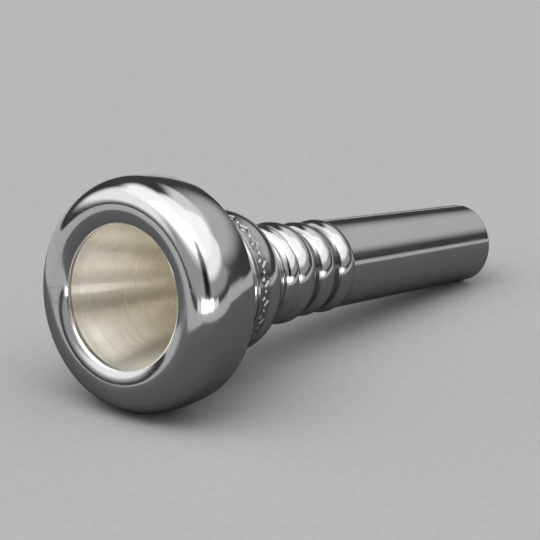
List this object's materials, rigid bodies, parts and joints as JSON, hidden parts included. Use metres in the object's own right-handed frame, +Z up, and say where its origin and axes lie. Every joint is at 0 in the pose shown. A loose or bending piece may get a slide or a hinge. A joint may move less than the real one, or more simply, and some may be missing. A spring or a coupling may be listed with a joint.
{
  "type": "brass instrument mouthpiece",
  "caption": "Silver-plated brass mouthpiece with a thick polished rim, satin V-shaped cup, engraved collar and tapered shank with turned beads; modelled to unscrew into rim, cup and shank.",
  "frame": {"origin": "centre of the shank's small end face, on the bore axis, where the taper enters the instrument", "axes": "+Y along the bore axis out of the shank's small end, so the rim and cup mouth face -Y; +Z up; +X to the right when looking along +Y"},
  "size_m": [0.028, 0.0639, 0.028],
  "materials": {
    "polished_plate": "mirror-polished silver plate on brass",
    "satin_plate": "satin pale silver plate on brass, lathe-turned inside the cup and polished on the collar"
  },
  "bodies": {
    "shank": {"shank": "polished_plate"},
    "cup": {"cup": "satin_plate"},
    "rim": {"rim": "polished_plate"}
  },
  "joints": [
    {"name": "cup_unscrews", "type": "slide", "parent": "shank", "child": "cup", "axis": [0, -1, 0], "range_m": [0, 0.012]},
    {"name": "rim_unscrews", "type": "slide", "parent": "cup", "child": "rim", "axis": [0, -1, 0], "range_m": [0, 0.015]}
  ]
}
